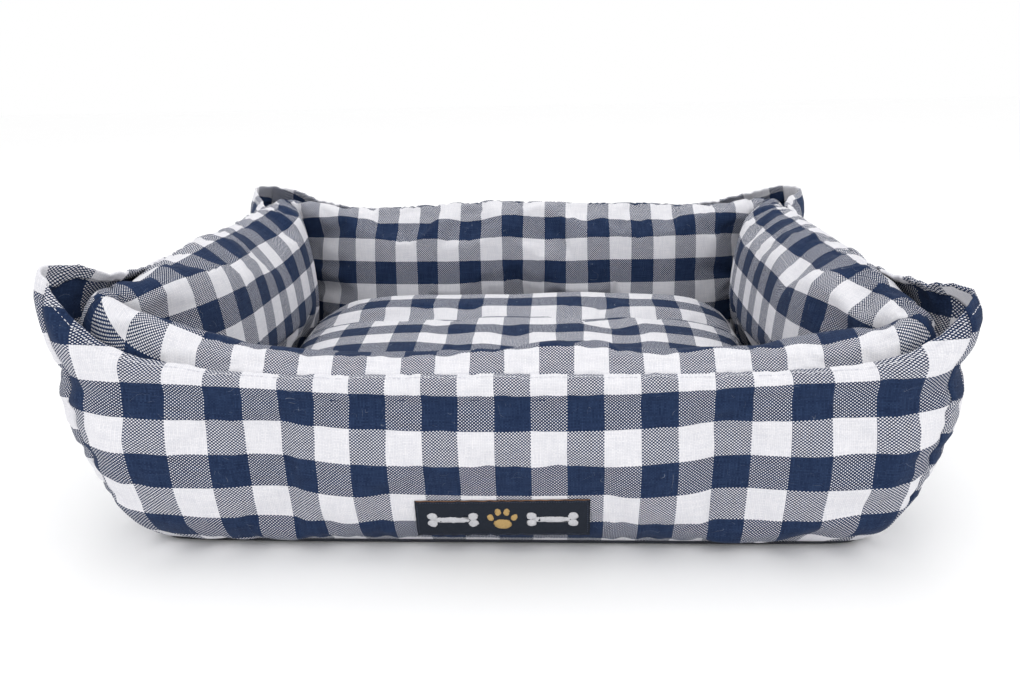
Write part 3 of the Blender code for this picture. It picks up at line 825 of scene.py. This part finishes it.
def cushion_panel(name, top):
    x, y, m = superellipse_grid(half_x, half_y, 48 * MM, 109)
    if top:
        swell = (crown - rim) * (1 - m**5.2) ** 0.55
        crest = 4 * MM * np.exp(-((y - 0.13) / 0.035) ** 2) - 8 * MM * np.exp(-((y - 0.055) / 0.014) ** 2)
        slope = -5 * MM * smooth((-y + 0.02) / 0.14)
        folds = 1.2 * MM * waves(x + 0.3 * y, 77, 4, 0.21) + 0.8 * MM * waves(y - 0.2 * x, 78, 4, 0.13)
        z = rim + swell + (crest + slope - 1.5 * MM + folds) * (1 - m**6)
    else:
        z = rim - (rim - bottom_low) * (1 - m**7) ** 0.5
    points = np.stack([x, y, z], axis=-1)
    if not top:
        points = points[::-1]
    u = np.linalg.norm(np.diff(points, axis=0), axis=2)
    v = np.linalg.norm(np.diff(points, axis=1), axis=2)
    middle = points.shape[0] // 2
    u = np.concatenate([np.zeros((1, u.shape[1])), np.cumsum(u, axis=0)])
    v = np.concatenate([np.zeros((v.shape[0], 1)), np.cumsum(v, axis=1)], axis=1)
    uv = np.stack([u - u[middle:middle + 1], v - v[:, middle:middle + 1]], axis=-1)
    hold = held(points.shape[:2], ("ends", "low", "high"), 0.02)
    return Panel(name, points, uv, hold, 0.035, 0.5, 6 * MM)


cushion_top = cushion_panel("cushion_top_cover", True)
cushion_bottom = cushion_panel("cushion_bottom_cover", False)

settle([*outer.values(), *inner.values(), cushion_top, cushion_bottom])


def finish_piece(obj, material, body, nodes=()):
    obj.data.materials.clear()
    obj.data.materials.append(material)
    if nodes:
        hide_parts(*nodes)
    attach(obj, body)


HEM_STRIPES = 0.68          # how much of a white stripe shows between the hem's fold and the next
HEM_COLUMN = -0.35          # where the columns of the outer covers start, in stripes

for name, wall in walls.items():
    edge = outer[name].uv[len(wall.cut) // 2, -1, 1]
    row_shift = -(edge / CHECK - HEM_STRIPES - 1) - 0.5
    stitch_row = OUTER_ROWS - 2
    path, out = outer[name].points[:, stitch_row], outer[name].normals()[:, stitch_row]
    fold_under(outer[name], wall)
    detail = 1 if name == "front" else 0
    finish_piece(
        outer[name].build(detail=detail), gingham(f"{name}_outer_gingham", row_shift, HEM_COLUMN), "bed",
        (f"{name}_outer_panel", f"{name}_bolster"),
    )
    finish_piece(
        inner[name].build(detail=detail), gingham(f"{name}_inner_gingham", *INNER_SHIFT[name]), "bed",
        (f"{name}_inner_panel",),
    )
    finish_piece(stitches(f"{name}_hem_stitches", path, out), THREAD, "bed")
    for part in ("zip_slider", "zip_pull"):
        keep_as(f"{name}_{part}", NICKEL)

    # The zip under the hem: a tape sewn to both covers, and the nylon coil along its middle.
    inside = np.abs(wall.station) < 0.82
    columns = wall.cut[inside]
    across = np.array([-11, -8, -5, -2, 2, 5, 8, 11]) * MM
    flat = wall.on_middle(wall.coil + across, np.full(len(across), 0.7 * MM))
    climb = curve(np.abs(wall.station[inside]), CLIMB[wall.kind])
    sections = np.repeat(flat[None], len(columns), 0)
    sections[..., 0] += 10 * MM * climb[:, None]
    tape = wall.place(np.repeat(columns[:, None], 8, 1), sections[..., 0], sections[..., 1])
    uv = np.stack(np.broadcast_arrays(columns[:, None], across[None]), axis=-1)
    strip = Panel(f"{name}_zip_tape", tape, uv, None)
    obj = strip.build(thickness=0.6 * MM)
    finish_piece(obj, TAPE, "bed", (f"{name}_zip_chain",))
    middle = strip.at(np.linspace(0, len(columns) - 1, len(columns) * 8), 3.5, 0.9 * MM)
    teeth = 1.05 * MM * (0.82 + 0.18 * np.cos(np.arange(len(middle)) * math.pi / 1.5))
    finish_piece(join_parts(f"{name}_zip_coil", [tube(middle, teeth, 6)]), COIL_PLASTIC, "bed")

for obj, nodes in (
    (cushion_top.build(detail=0), ("cushion_cover_top", "cushion_fill")),
    (cushion_bottom.build(), ("cushion_cover_bottom",)),
):
    material = gingham(obj.name + "_gingham", 0.35)
    finish_piece(obj, material, "cushion", nodes)
keep_as("cushion_zip_chain", fine_material(
    "cushion_zip_tape", (0.03, 0.05, 0.12, 1), (0.01, 0.016, 0.05, 1), 0.6, 0.1 * MM,
))
for part in ("cushion_zip_slider", "cushion_zip_pull"):
    keep_as(part, NICKEL)


# ---------------------------------------------------------------- build: base and floor

def disc(name, outline, levels, thickness):
    """A sheet from a closed outline to its centre; levels are (share of the outline, height)."""
    outline = np.asarray(outline)
    centre = outline.mean(axis=0)
    centre[:2] = 0
    rings = []
    for share, height in levels:
        ring = centre + (outline - centre) * share
        ring[:, 2] = height if height is not None else outline[:, 2]
        rings.append(ring)
    points = np.stack(rings, axis=1)
    columns, rows = points.shape[:2]
    middle = np.array([[0, 0, levels[-1][1]]])
    vertices = np.vstack([points.reshape(-1, 3), middle])
    faces = grid_faces(columns, rows, closed=True)
    hub = columns * rows
    for i in range(columns):
        faces.append((i * rows + rows - 1, ((i + 1) % columns) * rows + rows - 1, hub))
    obj = link_mesh(name, vertices, faces, vertices[:, :2])
    apply_modifier(obj, "SOLIDIFY", thickness=thickness, offset=-1.0)
    obj.data.shade_smooth()
    return obj


def ring_of(panels, row):
    """The line along one row of the four walls' panels, once round the bed."""
    return np.vstack([panels[name].points[:-1, row] for name in ("front", "right", "back", "left")])


bottom_ring = ring_of(outer, 0)
base = disc(
    "base_underside_cloth", bottom_ring[::-1],
    [(1.0, None), (0.992, 1.0 * MM)] + [(share, 0.1 * MM) for share in (0.975, 0.85, 0.6, 0.3)], 1.4 * MM,
)
finish_piece(base, GRIP, "bed", ("base_underside",))
# Grip dots stand proud of the underside in a staggered field.
dots = []
pitch = 26 * MM
dot_sides = 10
for i in range(-10, 11):
    for j in range(-9, 10):
        x, y = (i + 0.5 * (j % 2)) * pitch, j * pitch * 0.87
        if abs(x) < 0.255 and abs(y) < 0.205:
            angle = np.linspace(0, 2 * math.pi, dot_sides, endpoint=False)
            reach = np.stack([np.cos(angle), np.sin(angle), 0 * angle], axis=-1)
            rings = [
                np.array([x, y, z * MM]) + r * MM * reach
                for r, z in ((2.6, 0.25), (2.3, 0.0), (1.4, -0.12))
            ]
            points = np.vstack(rings + [[[x, y, -0.14 * MM]]])
            quads = []
            for first in (0, dot_sides):
                for a in range(dot_sides):
                    b = (a + 1) % dot_sides
                    quads.append((first + a, first + dot_sides + a, first + dot_sides + b, first + b))
            last, tip = 2 * dot_sides, 3 * dot_sides
            quads += [(last + a, tip, last + (a + 1) % dot_sides) for a in range(dot_sides)]
            quads.append(tuple(range(dot_sides)))
            dots.append((points, quads))
finish_piece(join_parts("base_grip_dots", dots), RUBBER, "bed")

floor_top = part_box("floor_panel")[1].z
floor_cloth = disc(
    "floor_cover", ring_of(inner, -1),
    [(1.0, None), (0.98, floor_top), (0.9, floor_top + 0.3 * MM), (0.7, floor_top),
     (0.45, floor_top + 0.3 * MM), (0.2, floor_top)], 1.2 * MM,
)
finish_piece(floor_cloth, gingham("floor_gingham"), "bed", ("floor_panel", "base_foam_pad"))


# ---------------------------------------------------------------- build: label

label_low, label_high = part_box("woven_label")
label_half = (label_high.x - label_low.x) / 2
label_tall = 35 * MM
label_foot = 19 * MM        # cloth between the bottom seam and the label
label_tilt = 0.018          # its slope along the wall
front = walls["front"]
front_rows = OUTER_ROWS
front_height = heights_of(outer["front"].points[:, :front_rows][None, len(front.cut) // 2])[0]


def on_label(x, y, lift):
    """Points of the label's face: x from its middle, y up from its lower edge."""
    x, y = np.broadcast_arrays(np.asarray(x, float), np.asarray(y, float))
    column = (x + front.reach) / (2 * front.reach) * (len(front.cut) - 1)
    height = label_foot + y + label_tilt * x
    row = np.interp(height, front_height, np.arange(front_rows))
    # It is stiffer than the cotton, so its lower edge stands off where the wall curves under.
    stands_off = 3.5 * MM * (1 - np.clip(y / label_tall, 0, 1)) ** 1.6
    point = outer["front"].at(column, row, lift)
    point[..., 1] -= stands_off
    return point


def label_sheet():
    across = np.linspace(-label_half, label_half, 64)
    up = np.linspace(0, label_tall, 18)
    points = on_label(across[:, None], up[None, :], 1.0 * MM)
    uv = np.stack(np.broadcast_arrays(across[:, None], up[None, :]), axis=-1)
    return Panel("woven_label_cloth", points, uv, None).build(thickness=0.8 * MM)


def dome(x0, y0, half_x, half_y, turn=0.0, height=0.55 * MM, rings=4, sides=22, power=2.0):
    """A raised embroidered spot on the label, and its UV."""
    angle = np.linspace(0, 2 * math.pi, sides, endpoint=False)
    c, s = np.cos(angle), np.sin(angle)
    edge = (np.abs(c) ** power + np.abs(s) ** power) ** (-1 / power)
    points, cut = [], []
    for k in range(rings):
        share = 1 - k / rings
        px, py = half_x * c * edge * share, half_y * s * edge * share
        qx = x0 + px * math.cos(turn) - py * math.sin(turn)
        qy = y0 + px * math.sin(turn) + py * math.cos(turn)
        lift = 0.9 * MM + height * (1 - share**2.4)
        points.append(on_label(qx, qy, lift))
        cut.append(np.stack([qx, qy], axis=-1))
    points.append(on_label(np.array([x0]), np.array([y0]), 0.9 * MM + height))
    cut.append(np.array([[x0, y0]]))
    quads = []
    for k in range(rings - 1):
        for a in range(sides):
            b = (a + 1) % sides
            quads.append((k * sides + a, k * sides + b, (k + 1) * sides + b, (k + 1) * sides + a))
    last = (rings - 1) * sides
    quads += [(last + a, last + (a + 1) % sides, last + sides) for a in range(sides)]
    quads.append(tuple(reversed(range(sides))))
    return np.vstack(points), quads, np.vstack(cut)


def embroidery(name, spots, material):
    parts = [dome(*spot[:4], **spot[4]) for spot in spots]
    obj = join_parts(name, [(p, q) for p, q, _ in parts], np.vstack([c for _, _, c in parts]))
    finish_piece(obj, material, "bed")


LABEL_CLOTH = ribbed(
    "label_weave", (0.016, 0.022, 0.036, 1), (0.005, 0.007, 0.013, 1), "y", 0.7 * MM, 0.9 * MM, 0.6,
)
SILVER = ribbed("silver_thread", (0.72, 0.72, 0.74, 1), (0.38, 0.38, 0.42, 1), "x", 0.55 * MM, roughness=0.42)
GOLD = ribbed("gold_thread", (0.62, 0.42, 0.17, 1), (0.30, 0.19, 0.07, 1), "x", 0.55 * MM, roughness=0.42)
sheet = label_sheet()
finish_piece(sheet, LABEL_CLOTH, "bed", ("woven_label",))
mid = label_tall / 2 - 0.5 * MM
paw = [(0, mid - 4.6 * MM, 7.0 * MM, 5.2 * MM, {"power": 2.3, "height": 0.8 * MM})]
for x, y, turn in ((-8.6, 2.2, 0.35), (-3.2, 7.2, 0.1), (3.2, 7.2, -0.1), (8.6, 2.2, -0.35)):
    paw.append((x * MM, mid + y * MM, 2.5 * MM, 3.6 * MM, {"turn": turn, "sides": 18, "rings": 4}))
embroidery("label_paw", paw, GOLD)
for side, sign in (("left", -1), ("right", 1)):
    bone = [(sign * 36 * MM, mid, 15 * MM, 2.8 * MM, {"power": 4.0, "rings": 4, "sides": 36})]
    for end in (-1, 1):
        for tip in (-1, 1):
            bone.append((
                (sign * 36 + end * 15) * MM, mid + tip * 3.3 * MM, 4.0 * MM, 3.8 * MM,
                {"sides": 22, "rings": 4, "height": 0.65 * MM},
            ))
    embroidery(f"label_{side}_bone", bone, SILVER)


def label_line(name, inset, material, pitch, length, radius, lift=0.9 * MM, sides=("low", "high", "ends")):
    x, y0, y1 = label_half - inset, inset, label_tall - inset
    across = np.linspace(-x, x, 90)
    lines = []
    if "low" in sides:
        lines.append(on_label(across, np.full(90, y0), lift))
    if "high" in sides:
        lines.append(on_label(across, np.full(90, y1), lift))
    if "ends" in sides:
        up = np.linspace(y0, y1, 24)
        lines += [on_label(np.full(24, -x), up, lift), on_label(np.full(24, x), up, lift)]
    parts = []
    for line in lines:
        out = np.tile(np.array([[0, -0.95, 0.1]]), (len(line), 1))
        made = stitches(name + "_row", line, out, pitch, length, radius, 0)
        parts.append((
            [v.co[:] for v in made.data.vertices], [tuple(p.vertices) for p in made.data.polygons],
        ))
        bpy.data.objects.remove(made)
    finish_piece(join_parts(name, parts), material, "bed")


DARK_THREAD = fine_material(
    "navy_thread", (0.03, 0.045, 0.09, 1), (0.012, 0.018, 0.04, 1), 0.5, 0.05 * MM, scale=2500,
)
BROWN_THREAD = fine_material(
    "brown_thread", (0.32, 0.15, 0.06, 1), (0.16, 0.07, 0.03, 1), 0.55, 0.05 * MM, scale=2500,
)
label_line("label_border_stitches", 1.6 * MM, DARK_THREAD, 1.9 * MM, 1.5 * MM, 0.28 * MM)
label_line("label_edge_thread", 0.15 * MM, BROWN_THREAD, 1.0 * MM, 1.15 * MM, 0.3 * MM, 0.7 * MM, ("high",))


# ---------------------------------------------------------------- studio

def studio():
    bpy.ops.object.select_all(action="DESELECT")
    bpy.ops.mesh.primitive_plane_add(size=14, location=(0, 0, LOW.z - 0.2 * MM))
    floor = bpy.context.object
    floor.name = "studio_floor"
    white, g, shader = new_material("studio_white")
    place = g.node("ShaderNodeTexCoord").outputs["Object"]
    pale, white_floor = (0.985, 0.985, 0.987, 1), (0.998, 0.998, 0.998, 1)
    g.feed(shader.inputs["Base Color"], g.mix(g.noise(place, 3.0), pale, white_floor))
    shader.inputs["Roughness"].default_value = 0.9
    shader.inputs["Specular IOR Level"].default_value = 0.1
    floor.data.materials.clear()
    floor.data.materials.append(white)
    world = bpy.data.worlds.new("studio_world")
    bpy.context.scene.world = world
    world.use_nodes = True
    background = world.node_tree.nodes["Background"]
    background.inputs["Color"].default_value = (1, 1, 1, 1)
    background.inputs["Strength"].default_value = 1.0
    for name, place, size, power in (
        ("key_light", (-0.7, -1.5, 1.9), 1.5, 7), ("fill_light", (1.3, -1.0, 1.4), 1.4, 3),
        ("top_light", (0.0, 0.4, 2.2), 1.8, 7),
    ):
        light = bpy.data.lights.new(name, "AREA")
        light.size = size
        light.energy = power
        lamp = bpy.data.objects.new(name, light)
        lamp.location = place
        lamp.rotation_euler = (Vector((0, 0, 0.08)) - Vector(place)).to_track_quat("-Z", "Y").to_euler()
        bpy.context.scene.collection.objects.link(lamp)
    bpy.context.scene.view_settings.view_transform = "Standard"


def camera():
    """The camera stands in front of the bed, a little to its right, and looks down at it."""
    distance, height, aside = 0.597, 0.350, 0.043
    pitch, yaw, roll = (math.radians(a) for a in (16.75, 3.3, -1.25))
    focal, width = 924.0, 1020.0
    data = bpy.data.cameras.new("camera")
    data.sensor_width = 36
    data.lens = 36 * focal / width
    obj = bpy.data.objects.new("camera", data)
    turn = Matrix.Rotation(yaw, 4, "Z") @ Matrix.Rotation(math.pi / 2 - pitch, 4, "X")
    turn = turn @ Matrix.Rotation(roll, 4, "Z")
    obj.matrix_world = Matrix.Translation((aside, -0.255 - distance, height)) @ turn
    bpy.context.scene.collection.objects.link(obj)
    bpy.context.scene.camera = obj


studio()
camera()
